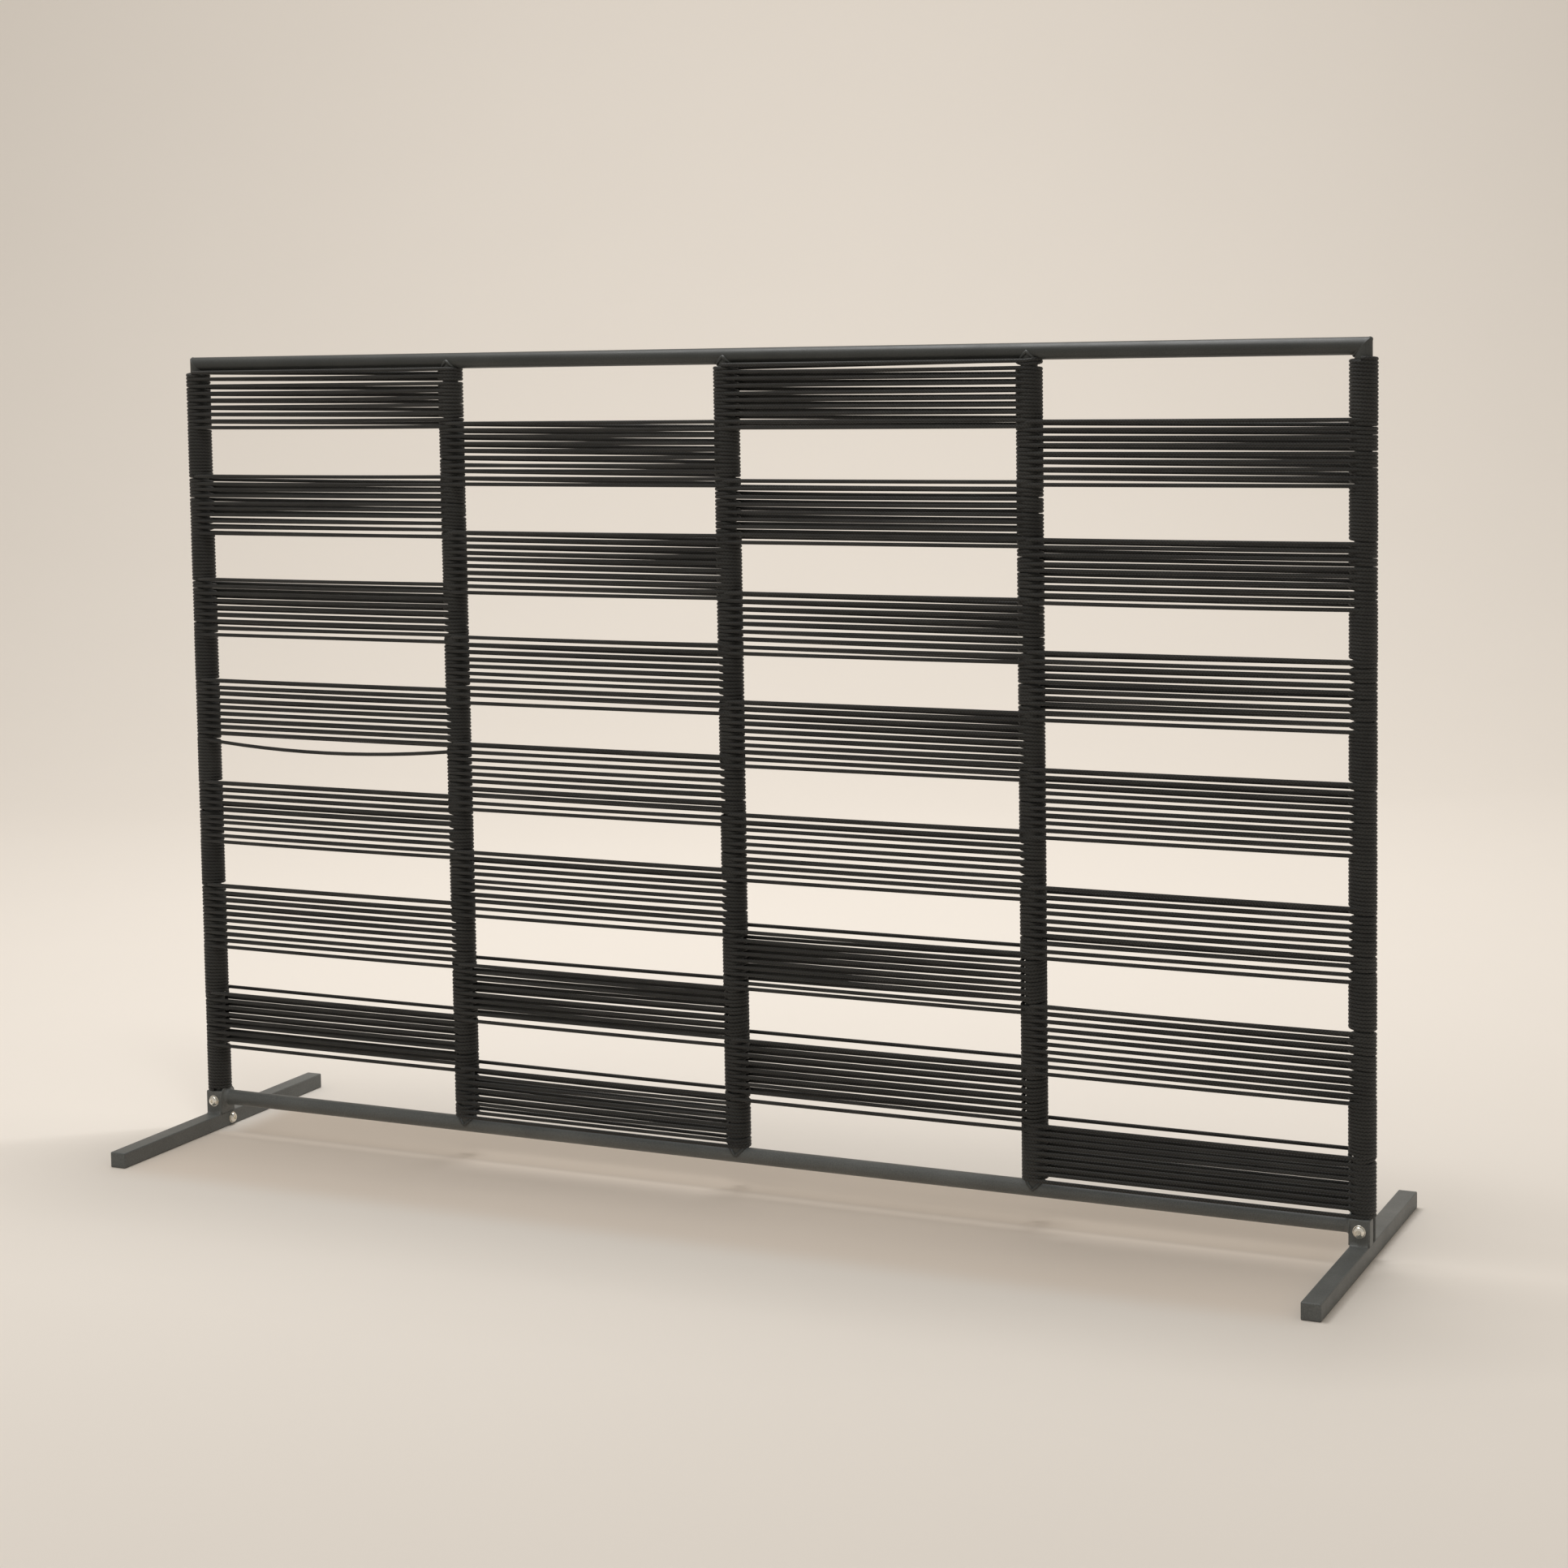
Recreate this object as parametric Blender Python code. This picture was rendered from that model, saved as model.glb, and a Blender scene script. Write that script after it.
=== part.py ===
"""Free-standing fireplace screen: a welded frame of round tube, wound with rope, on two bolted foot bars.

Metres, +Z up. The origin is on the floor, midway along the screen and midway between its two faces.
+X runs along the screen, and -Y is the side where the bolt heads of the end posts show.
"""

import math

import bmesh
import bpy
from mathutils import Matrix

# Frame
SCREEN_WIDTH = 1.250  # between the centre lines of the two end posts
COLUMNS = 4
ROWS = 14
TUBE_RADIUS = 0.008
TOP_RAIL_Z = 0.828
BOTTOM_RAIL_Z = 0.033

# Rope
ROPE_DIAMETER = 0.0038
ROPE_RADIUS_OUT = TUBE_RADIUS + ROPE_DIAMETER  # outside of one layer of rope on a tube

# Feet
FOOT_WIDTH = 0.018
FOOT_HEIGHT = 0.016
FOOT_LENGTH = 0.370
FOOT_EDGE = 0.0015
SOCKET_WIDTH = 0.020
SOCKET_DEPTH = 0.024
SOCKET_FLANGE = 0.001  # the base plate stands out this far all round
SOCKET_FLANGE_HEIGHT = 0.005

# Bolts, M6 button heads on plain washers
BOLT_RADIUS = 0.003
BOLT_HOLE_RADIUS = 0.0033
HEAD_RADIUS = 0.00525
HEAD_HEIGHT = 0.0030
HEAD_DOME = ((1.0, 0.2), (0.88, 0.62), (0.55, 1.0))  # shares of the radius and of the height
WASHER_RADIUS = 0.0060
WASHER_THICKNESS = 0.0010
DRIVE_RADIUS = 0.0020
DRIVE_DEPTH = 0.0018
POST_BOLT_Z = 0.030
POST_BOLT_REACH = 0.021
FOOT_BOLT_Y = 0.008
FOOT_BOLT_REACH = 0.012
CUTTER_OVERSHOOT = 0.010  # a hole's cutter stands out this far

GAP = 0.0003  # clearance between pieces that touch
TUBE_SIDES = 24
ROPE_SIDES = 16
SLOT_STEPS = 4
BOLT_SIDES = 20
SHARP_ANGLE = math.radians(35)

HALF_WIDTH = SCREEN_WIDTH / 2
COLUMN_WIDTH = SCREEN_WIDTH / COLUMNS
WOUND_TOP = TOP_RAIL_Z - TUBE_RADIUS
WOUND_BOTTOM = BOTTOM_RAIL_Z + TUBE_RADIUS
ROW_HEIGHT = (WOUND_TOP - WOUND_BOTTOM) / ROWS
SIDES = (("left", -1), ("right", 1))


# Materials


def make_material(name, colour, roughness, metallic):
    material = bpy.data.materials.new(name)
    material.use_nodes = True
    shader = material.node_tree.nodes["Principled BSDF"]
    shader.inputs["Base Color"].default_value = (*colour, 1)
    shader.inputs["Roughness"].default_value = roughness
    shader.inputs["Metallic"].default_value = metallic
    return material


# Building blocks


def add_object(name, bm, material):
    """Turns a bmesh into a named object and frees it."""
    bmesh.ops.recalc_face_normals(bm, faces=bm.faces)
    mesh = bpy.data.meshes.new(name)
    bm.to_mesh(mesh)
    bm.free()
    mesh.materials.append(material)
    mesh.shade_smooth()
    mesh.set_sharp_from_angle(angle=SHARP_ANGLE)
    obj = bpy.data.objects.new(name, mesh)
    bpy.context.scene.collection.objects.link(obj)
    return obj


def hide_cutter(obj):
    obj.hide_render = True
    obj.display_type = "WIRE"
    return obj


def combine(obj, other, operation):
    modifier = obj.modifiers.new(operation.title(), "BOOLEAN")
    modifier.operation = operation
    modifier.object = other


def circle(radius, sides, centre_x=0.0):
    """Points of a circle around (centre_x, 0)."""
    turns = [2 * math.pi * k / sides for k in range(sides)]
    return [(centre_x + radius * math.cos(turn), radius * math.sin(turn)) for turn in turns]


def round_bar(name, place, low_end, high_end, material):
    """A round bar. place(u, v, w) puts the section point (u, v) at w along the bar, and low_end(u, v) and
    high_end(u, v) say where the bar ends there. Its end faces are strips along u, so a saddle cut whose
    depth depends on v alone stays exact."""
    bm = bmesh.new()
    section = circle(TUBE_RADIUS, TUBE_SIDES)
    rings = [
        [bm.verts.new(place(u, v, end(u, v))) for u, v in section]
        for end in (low_end, high_end)
    ]
    for k in range(TUBE_SIDES):
        after = (k + 1) % TUBE_SIDES
        bm.faces.new((rings[0][k], rings[0][after], rings[1][after], rings[1][k]))
    quarter = TUBE_SIDES // 4
    for ring in rings:
        for k in range(-quarter, quarter):
            strip = (k, k + 1, 2 * quarter - k - 1, 2 * quarter - k)
            corners = [ring[index % TUBE_SIDES] for index in strip]
            bm.faces.new(list(dict.fromkeys(corners)))
    return add_object(name, bm, material)


def slab(outlines, low, high):
    """A bmesh between two heights, from an outer outline and the outlines of its holes."""
    bm = bmesh.new()
    edges = []
    for outline in outlines:
        ring = [bm.verts.new((x, y, low)) for x, y in outline]
        edges += [bm.edges.new(pair) for pair in zip(ring, ring[1:] + ring[:1])]
    bmesh.ops.triangle_fill(bm, use_beauty=True, edges=edges)
    floor = list(bm.faces)
    above = {vert: bm.verts.new((vert.co.x, vert.co.y, high)) for vert in list(bm.verts)}
    for face in floor:
        bm.faces.new([above[vert] for vert in face.verts])
    for edge in edges:
        start, end = edge.verts
        bm.faces.new((start, end, above[end], above[start]))
    return bm


def rectangle(centre_x, width, depth):
    x, y = width / 2, depth / 2
    return [(centre_x - x, -y), (centre_x + x, -y), (centre_x + x, y), (centre_x - x, y)]


def turned(name, profile, place, material):
    """A solid turned about its own axis. profile holds (radius, height) from the axis at one end to the
    axis at the other, and place(x, y, height) moves a point to where it belongs."""
    bm = bmesh.new()
    rings = []
    for radius, height in profile:
        if radius == 0:
            rings.append([bm.verts.new(place(0, 0, height))] * BOLT_SIDES)
        else:
            section = circle(radius, BOLT_SIDES)
            rings.append([bm.verts.new(place(x, y, height)) for x, y in section])
    for lower, upper in zip(rings, rings[1:]):
        for k in range(BOLT_SIDES):
            after = (k + 1) % BOLT_SIDES
            corners = (lower[k], lower[after], upper[after], upper[k])
            bm.faces.new(list(dict.fromkeys(corners)))
    return add_object(name, bm, material)


# Frame


def build_rails(material):
    def along_x(rail_z):
        return lambda u, v, w: (w, u, rail_z + v)

    # The top rail meets the end posts in a 45 degree mitre.
    mitre_inset = HALF_WIDTH - GAP / 2
    round_bar(
        "top_rail",
        along_x(TOP_RAIL_Z),
        lambda u, v: -mitre_inset - v,
        lambda u, v: mitre_inset + v,
        material,
    )
    rail_end = HALF_WIDTH - SOCKET_WIDTH / 2 - GAP
    round_bar(
        "bottom_rail",
        along_x(BOTTOM_RAIL_Z),
        lambda u, v: -rail_end,
        lambda u, v: rail_end,
        material,
    )


def build_inner_posts(material):
    """Posts between the rails, with saddle-cut ends."""

    def saddle(v):
        return math.sqrt((TUBE_RADIUS + GAP) ** 2 - v**2)

    for column in range(1, COLUMNS):
        post_x = -HALF_WIDTH + column * COLUMN_WIDTH
        round_bar(
            f"post_{column + 1}",
            lambda u, v, w, x=post_x: (x + u, v, w),
            lambda u, v: BOTTOM_RAIL_Z + saddle(v),
            lambda u, v: TOP_RAIL_Z - saddle(v),
            material,
        )


def build_end_posts(material):
    """Posts that stand in the foot sockets, mitred to the top rail."""
    post_foot = FOOT_HEIGHT + GAP + SOCKET_FLANGE_HEIGHT + GAP
    posts = {}
    for name, side in SIDES:
        posts[name] = round_bar(
            f"post_{name}_end",
            lambda u, v, w, side=side: (side * HALF_WIDTH + u, v, w),
            lambda u, v: post_foot,
            lambda u, v, side=side: TOP_RAIL_Z + side * u - GAP / 2,
            material,
        )
    return posts


# Rope


def hole_outline(centre_x):
    """A hole whose flats clear the tube."""
    radius = (TUBE_RADIUS + GAP) / math.cos(math.pi / ROPE_SIDES)
    return circle(radius, ROPE_SIDES, centre_x)


def arc(centre_x, start, end, steps):
    """Points at the rope's outside radius around a post, from one angle to another, both included."""
    turns = [start + (end - start) * k / steps for k in range(steps + 1)]
    return [
        (centre_x + ROPE_RADIUS_OUT * math.cos(turn), ROPE_RADIUS_OUT * math.sin(turn))
        for turn in turns
    ]


def row_span(row):
    """Bottom and top of a row, counted from 0 at the top rail."""
    top = WOUND_TOP - row * ROW_HEIGHT
    return top - ROW_HEIGHT + GAP / 2, top - GAP / 2


def build_bands(material):
    """One belt of rope round two neighbouring posts in every second cell of the grid: it runs along the
    front, round one post, back along the rear and round the other."""
    quarter_turn = math.pi / 2
    slot_angle = math.asin(TUBE_RADIUS / ROPE_RADIUS_OUT)
    for column in range(COLUMNS):
        left_x = -HALF_WIDTH + column * COLUMN_WIDTH
        right_x = left_x + COLUMN_WIDTH
        outer = arc(left_x, quarter_turn, 3 * quarter_turn, ROPE_SIDES // 2)
        outer += arc(right_x, -quarter_turn, quarter_turn, ROPE_SIDES // 2)
        slot = arc(left_x, -slot_angle, slot_angle, SLOT_STEPS)
        slot += arc(right_x, math.pi - slot_angle, math.pi + slot_angle, SLOT_STEPS)
        outlines = [outer, slot, hole_outline(left_x), hole_outline(right_x)]
        for row in range(column % 2, ROWS, 2):
            bm = slab(outlines, *row_span(row))
            add_object(f"rope_band_c{column + 1}_r{row + 1:02d}", bm, material)


def build_sleeves(material):
    """Rope wound round the end posts alone, in the rows where no band reaches them."""
    for name, side in SIDES:
        column = 0 if side < 0 else COLUMNS - 1
        post_x = side * HALF_WIDTH
        outlines = [circle(ROPE_RADIUS_OUT, ROPE_SIDES, post_x), hole_outline(post_x)]
        for row in range((column + 1) % 2, ROWS, 2):
            bm = slab(outlines, *row_span(row))
            add_object(f"rope_sleeve_{name}_r{row + 1:02d}", bm, material)


# Feet


def build_feet(material):
    bars = {}
    for name, side in SIDES:
        bm = bmesh.new()
        centre = Matrix.Translation((side * HALF_WIDTH, 0, FOOT_HEIGHT / 2))
        size = Matrix.Diagonal((FOOT_WIDTH, FOOT_LENGTH, FOOT_HEIGHT, 1))
        bmesh.ops.create_cube(bm, size=1, matrix=centre @ size)
        bmesh.ops.bevel(
            bm, geom=bm.edges, offset=FOOT_EDGE, segments=2, profile=0.5, affect="EDGES"
        )
        bars[name] = add_object(f"foot_bar_{name}", bm, material)
    return bars


def build_sockets(material):
    """Short upright boxes on the foot bars, bored for the end posts and widened at the base."""
    base = FOOT_HEIGHT + GAP
    bore_floor = base + SOCKET_FLANGE_HEIGHT
    top = WOUND_BOTTOM - GAP / 2
    bore_radius = (TUBE_RADIUS + GAP) / math.cos(math.pi / TUBE_SIDES)
    sockets = {}
    for name, side in SIDES:
        x = side * HALF_WIDTH
        body = slab([rectangle(x, SOCKET_WIDTH, SOCKET_DEPTH)], base, top)
        sockets[name] = add_object(f"foot_socket_{name}", body, material)
        flange_outline = rectangle(
            x, SOCKET_WIDTH + 2 * SOCKET_FLANGE, SOCKET_DEPTH + 2 * SOCKET_FLANGE
        )
        flange = slab([flange_outline], base, bore_floor)
        combine(sockets[name], hide_cutter(add_object(f"flange_{name}", flange, material)), "UNION")
        bore = slab([circle(bore_radius, TUBE_SIDES, x)], bore_floor, top + CUTTER_OVERSHOOT)
        combine(
            sockets[name], hide_cutter(add_object(f"bore_{name}", bore, material)), "DIFFERENCE"
        )
    return sockets


# Bolts


def build_bolt(name, place, reach, drilled, material):
    """A bolt, its washer in one piece with it, and its hole in the drilled objects. place(x, y, height) has
    height 0 on the face under the washer, and positive heights outside it."""
    under_head = GAP + WASHER_THICKNESS
    hole = [
        (0, -reach - GAP),
        (BOLT_HOLE_RADIUS, -reach - GAP),
        (BOLT_HOLE_RADIUS, CUTTER_OVERSHOOT),
        (0, CUTTER_OVERSHOOT),
    ]
    cutter = hide_cutter(turned(f"{name}_hole", hole, place, material))
    for obj in drilled:
        combine(obj, cutter, "DIFFERENCE")
    profile = [
        (0, -reach),
        (BOLT_RADIUS, -reach),
        (BOLT_RADIUS, GAP),
        (WASHER_RADIUS, GAP),
        (WASHER_RADIUS, under_head),
        (HEAD_RADIUS, under_head),
        *((wide * HEAD_RADIUS, under_head + high * HEAD_HEIGHT) for wide, high in HEAD_DOME),
        (DRIVE_RADIUS, under_head + HEAD_HEIGHT),
        (DRIVE_RADIUS, under_head + HEAD_HEIGHT - DRIVE_DEPTH),
        (0, under_head + HEAD_HEIGHT - DRIVE_DEPTH),
    ]
    turned(name, profile, place, material)


def build_bolts(posts, sockets, bars, material):
    """One bolt from the front through each socket and post, and one in the inner side of each foot bar."""
    for name, side in SIDES:
        post_x = side * HALF_WIDTH
        socket_face = -SOCKET_DEPTH / 2
        build_bolt(
            f"post_bolt_{name}",
            lambda x, y, height: (post_x + x, socket_face - height, POST_BOLT_Z + y),
            POST_BOLT_REACH,
            (posts[name], sockets[name]),
            material,
        )
        foot_face = side * (HALF_WIDTH - FOOT_WIDTH / 2)
        build_bolt(
            f"foot_bolt_{name}",
            lambda x, y, height: (foot_face - side * height, FOOT_BOLT_Y + x, FOOT_HEIGHT / 2 + y),
            FOOT_BOLT_REACH,
            (bars[name],),
            material,
        )


def main():
    for obj in list(bpy.data.objects):
        bpy.data.objects.remove(obj)
    coat = make_material("anthracite powder coat", (0.075, 0.078, 0.075), 0.5, 0.0)
    rope = make_material("charcoal rope", (0.022, 0.021, 0.020), 0.9, 0.0)
    steel = make_material("nickel-plated bolt", (0.66, 0.63, 0.57), 0.25, 1.0)
    build_rails(coat)
    build_inner_posts(coat)
    posts = build_end_posts(coat)
    build_bands(rope)
    build_sleeves(rope)
    bars = build_feet(coat)
    sockets = build_sockets(coat)
    build_bolts(posts, sockets, bars, steel)


main()
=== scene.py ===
"""The fireplace screen's visible model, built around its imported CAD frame.

Metres, +Z up, +X along the screen, -Y the side where the bolt heads show. The tubes, feet and bolts are
rebuilt with welds, rounded edges and sockets, and the rope is wound strand by strand.
"""

import math
import random

import bmesh
import bpy
import numpy as np
from mathutils import Matrix, Vector


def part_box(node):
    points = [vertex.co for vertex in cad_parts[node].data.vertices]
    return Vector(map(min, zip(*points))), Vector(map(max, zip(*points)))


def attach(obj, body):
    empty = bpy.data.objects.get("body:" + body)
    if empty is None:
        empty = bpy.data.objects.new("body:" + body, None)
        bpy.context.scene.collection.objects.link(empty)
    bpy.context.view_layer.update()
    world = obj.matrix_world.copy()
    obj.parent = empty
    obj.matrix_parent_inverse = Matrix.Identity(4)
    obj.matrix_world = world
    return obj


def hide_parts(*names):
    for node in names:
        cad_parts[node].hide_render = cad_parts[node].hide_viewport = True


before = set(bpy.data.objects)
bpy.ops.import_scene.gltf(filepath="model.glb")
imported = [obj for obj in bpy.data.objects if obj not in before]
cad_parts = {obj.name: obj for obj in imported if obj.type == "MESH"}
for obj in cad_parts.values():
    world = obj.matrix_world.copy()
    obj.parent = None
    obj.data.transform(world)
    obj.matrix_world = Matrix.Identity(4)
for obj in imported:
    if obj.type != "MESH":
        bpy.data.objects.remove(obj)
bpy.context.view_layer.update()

# Sizes read from the frame
TOP_LOW, TOP_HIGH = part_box("top_rail")
BOTTOM_LOW, BOTTOM_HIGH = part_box("bottom_rail")
TUBE_RADIUS = (TOP_HIGH.z - TOP_LOW.z) / 2
TOP_Z = (TOP_HIGH.z + TOP_LOW.z) / 2
BOTTOM_Z = (BOTTOM_HIGH.z + BOTTOM_LOW.z) / 2
HALF_WIDTH = TOP_HIGH.x - TUBE_RADIUS
BANDS = sorted(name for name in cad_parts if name.startswith("rope_band"))
SLEEVES = sorted(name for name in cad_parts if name.startswith("rope_sleeve"))
COLUMNS = max(int(name.split("_c")[1][0]) for name in BANDS)
ROWS = max(int(name[-2:]) for name in BANDS)
COLUMN_WIDTH = 2 * HALF_WIDTH / COLUMNS
WOUND_TOP = TOP_Z - TUBE_RADIUS
WOUND_BOTTOM = BOTTOM_Z + TUBE_RADIUS
ROW_HEIGHT = (WOUND_TOP - WOUND_BOTTOM) / ROWS

# Rope
TURNS_PER_ROW = 16  # of rope wound side by side
PITCH = ROW_HEIGHT / TURNS_PER_ROW
FRONT_SPACING = 2.05  # pitches between the front runs of a band
ROPE_RADIUS = 0.0019
WINDING_SLACK = 0.0012  # the rope stands off the tube a little
WINDING_RADIUS = TUBE_RADIUS + ROPE_RADIUS + WINDING_SLACK
WOUND_TURNS = 1.5  # round a post, between a front run and a rear run
LAST_TURN = 0.5  # of a turn round the right post, where a band ends
LAST_GAP = 0.8  # pitches between the last turn and the bottom rail
SLEEVE_GAPS = {"left": (0.6, 0.2), "right": (0.1, 0.7)}  # pitches to the bands above and below a sleeve
RAIL_GAPS = (1.0, 0.6)  # pitches from a sleeve to the level of the top rail and of the bottom rail
SLEEVE_LEAD = 0.25  # of a turn, added at each end of a sleeve
ROPE_SIDES = 12
ROPE_STEPS_PER_TURN = 18
RUN_STEPS = 12
BRAID_LENGTH = 0.012
BRAID_STRANDS = 4
FRONT = 1.5 * math.pi  # angle of the front of a post, seen from above
REAR = 0.5 * math.pi
JITTER = 0.07  # of a pitch, the spread of the runs about their places
TWIST = 0.03  # of a pitch, between the two ends of a run
STRAY = 0.30  # of a pitch, for the odd run that lies off its place
STRAY_CHANCE = 0.08
SAG = 0.00025  # the spread of the runs' sag in the middle
LOOSE_BAND = "c1_r07"  # its last front run hangs loose
LOOSE_SAG = 0.0085

# Each band in pitches: how far it reaches above its row and below it, how far its rear runs lie below the
# front runs at the left and the right post, and how much that grows from its top to its bottom.
WINDINGS = {
    "c1_r01": (0.0, 1.0, 0.42, 1.32, 0.00),
    "c1_r03": (0.2, 1.3, 1.64, 2.19, 0.70),
    "c1_r05": (0.5, 0.5, 1.23, 1.38, -0.90),
    "c1_r07": (1.3, 1.0, 1.10, 1.25, 0.35),
    "c1_r09": (1.5, 1.0, 1.29, 1.49, 0.00),
    "c1_r11": (1.3, 2.0, 1.81, 1.66, 0.00),
    "c1_r13": (-1.0, 1.3, 0.50, 0.45, 0.50),
    "c2_r02": (0.0, 1.9, 0.50, 1.52, 0.00),
    "c2_r04": (0.0, 1.7, 0.61, 1.41, -0.15),
    "c2_r06": (1.0, 2.1, 0.88, 1.28, 0.00),
    "c2_r08": (1.0, 2.3, 1.07, 1.32, 0.10),
    "c2_r10": (1.0, 1.9, 1.44, 1.59, -0.15),
    "c2_r12": (-1.0, 1.9, 0.68, 0.38, 0.10),
    "c2_r14": (-0.5, -0.6, 0.52, 0.82, 0.40),
    "c3_r01": (0.0, 1.8, 1.02, 1.68, 0.00),
    "c3_r03": (-0.7, 1.8, 1.54, 1.79, -0.10),
    "c3_r05": (-0.2, 1.3, 0.83, 1.68, 0.00),
    "c3_r07": (1.1, 1.1, 1.10, 1.70, -0.10),
    "c3_r09": (0.9, 1.8, 1.24, 1.44, 0.20),
    "c3_r11": (-1.0, 1.0, 0.46, -0.24, 0.10),
    "c3_r13": (0.1, 1.0, 0.70, 0.10, 0.00),
    "c4_r02": (-0.4, 1.3, 0.62, 1.37, 0.00),
    "c4_r04": (0.2, 0.9, 1.31, 1.66, -0.20),
    "c4_r06": (1.7, 0.5, 1.33, 1.03, 0.00),
    "c4_r08": (1.9, 0.6, 1.17, 1.47, 0.00),
    "c4_r10": (1.3, 1.7, 1.59, 1.54, 0.00),
    "c4_r12": (1.3, 1.5, 1.63, 2.38, 0.10),
    "c4_r14": (0.1, -0.6, 0.80, 0.85, 0.00),
}
# The bands whose first rear run lies by itself: how far below the first front run it is at either post.
FIRST_REAR = {
    "c1_r01": (0.05, 1.30),
    "c3_r01": (1.20, 0.10),
    "c1_r13": (-0.95, -0.85),
    "c2_r12": (-1.05, -1.15),
    "c2_r14": (-0.75, -0.70),
    "c3_r11": (-1.15, -1.20),
    "c3_r13": (-0.90, -1.00),
    "c4_r14": (-0.90, -0.85),
}

# Tubes and welds
TUBE_SIDES = 64
WELD_SIDES = 12
WELD_STEPS = 56
WELD_RIPPLE = (0.85, 1.12)  # the least and the most of a bead's radius
POST_WELD = 0.0016
POST_WELD_LIFT = 0.0002  # of the bead's centre line off the tube
MITRE_WELD = 0.00035
MITRE_OUTER = 0.0021  # the weld is dressed to this radius more on the outside of a corner
MITRE_INNER = 0.0018
MITRE_FADE = 3  # how fast the bead thins away from the outside and the inside of the corner

# Feet
SIDES = (("left", -1), ("right", 1))
SOCKET_FLANGE = 0.001  # of the CAD socket's base, left out here
SOCKET_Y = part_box("foot_socket_left")[1].y - SOCKET_FLANGE
SOCKET_X = HALF_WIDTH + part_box("foot_socket_left")[1].x - SOCKET_FLANGE
SOCKET_EDGE = 0.0016
GROOVE_START = 0.0015  # where the groove in a socket's outer side starts and ends along Y
GROOVE_END = 0.0095
GROOVE_DEPTH = 0.0040
BAR_EDGE = 0.0011
BASE_WELD = 0.0045  # sizes of the fillets at a socket's base and round the bottom rail
RAIL_WELD = 0.0050
WELD_EDGE = 0.0006
FILLET_STEPS = 8
FILLET_SINK = 0.25  # of a fillet's size, hidden in the faces it joins
EDGE_SEGMENTS = 3
EDGE_ANGLE = math.radians(40)

# Bolts
BOLT_SIDES = 48
HEAD_RADIUS = 0.00525
HEAD_HEIGHT = 0.0030
HEAD_RIM = 0.0004
DOME_TURN = math.radians(58)
DOME_STEPS = 8
DRIVE_FLAT = 0.0020  # from the middle of the hexagonal drive to a flat
DRIVE_DEPTH = 0.0016
WASHER_BORE = 0.0032
WASHER_RADIUS = 0.0060
WASHER_THICKNESS = 0.0010
WASHER_EDGE = 0.0002

# Stage, light and camera
SWEEP_START = 2.5
SWEEP_RADIUS = 3.5
SWEEP_STEPS = 32
STAGE_REACH = 9.0
STAGE_HALF_WIDTH = 14.0
# Each shadow painted on the floor: its edges along X and along Y, each with its softness, and its colour.
PAINTED_FLOOR_SHADOWS = (
    (((-0.60, 0.03), (0.62, 0.04)), ((-0.018, 0.008), (0.100, 0.03)), (0.735, 0.685, 0.635)),
    (((-0.63, 0.04), (0.62, 0.05)), ((-0.190, 0.04), (-0.018, 0.008)), (0.95, 0.90, 0.855)),
)
# Each strip light, high above the screen: its place, its size and its power.
STRIPS = {
    "strip behind": ((-0.30, 0.49, 3.2), (2.0, 0.10), 36),
    "strip in front": ((-0.30, -0.60, 3.2), (2.0, 0.30), 23),
}
# The wash on the backdrop, in the directions of facing()
WASH_PLACE = (0.45, 1.5, 3.9)
WASH_TARGET = (0.30, 6.0, 0.9)
WASH_SIZE = (1.6, 1.2)
WASH_POWER = 84
WORLD_COLOUR = (1.0, 0.945, 0.87)
WORLD_STRENGTH = 0.48
CAMERA_PLACE = (1.25294, -2.63830, 0.83404)
CAMERA_YAW = 0.45582
CAMERA_PITCH = -0.08456
CAMERA_ROLL = -0.01738
CAMERA_LENS = 68.404
CAMERA_SENSOR = 36.0
CAMERA_SHIFT = (0.0581, -0.1153)


# Node helpers


def new_material(name):
    material = bpy.data.materials.new(name)
    material.use_nodes = True
    return material, material.node_tree.nodes, material.node_tree.links


def math_node(nodes, links, operation, *values):
    """A Math node on sockets or plain numbers, and its output."""
    node = nodes.new("ShaderNodeMath")
    node.operation = operation
    for socket, value in zip(node.inputs, values):
        if isinstance(value, (int, float)):
            socket.default_value = value
        else:
            links.new(value, socket)
    return node.outputs[0]


def spread(nodes, links, value, low, high):
    """A value from 0 to 1 carried to the range from low to high."""
    return math_node(nodes, links, "MULTIPLY_ADD", value, high - low, low)


def noise_node(nodes, links, vector, scale, detail, roughness=0.5):
    node = nodes.new("ShaderNodeTexNoise")
    node.inputs["Scale"].default_value = scale
    node.inputs["Detail"].default_value = detail
    node.inputs["Roughness"].default_value = roughness
    links.new(vector, node.inputs["Vector"])
    return node.outputs["Fac"]


def ramp_node(nodes, links, factor, stops):
    """A colour ramp with (position, colour) stops."""
    node = nodes.new("ShaderNodeValToRGB")
    links.new(factor, node.inputs["Fac"])
    ramp = node.color_ramp
    while len(ramp.elements) < len(stops):
        ramp.elements.new(0.5)
    for element, (position, colour) in zip(ramp.elements, stops):
        element.position = position
        element.color = (*colour, 1)
    return node.outputs["Color"]


def grey(value):
    return (value, value, value)


def multiplied(nodes, links, first, second, factor=1.0):
    """The first colour times the second, as far as factor goes."""
    node = nodes.new("ShaderNodeMix")
    node.data_type = "RGBA"
    node.blend_type = "MULTIPLY"
    if isinstance(factor, (int, float)):
        node.inputs["Factor"].default_value = factor
    else:
        links.new(factor, node.inputs["Factor"])
    for socket, value in ((node.inputs["A"], first), (node.inputs["B"], second)):
        if isinstance(value, tuple):
            socket.default_value = (*value, 1)
        else:
            links.new(value, socket)
    return node.outputs["Result"]


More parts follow.
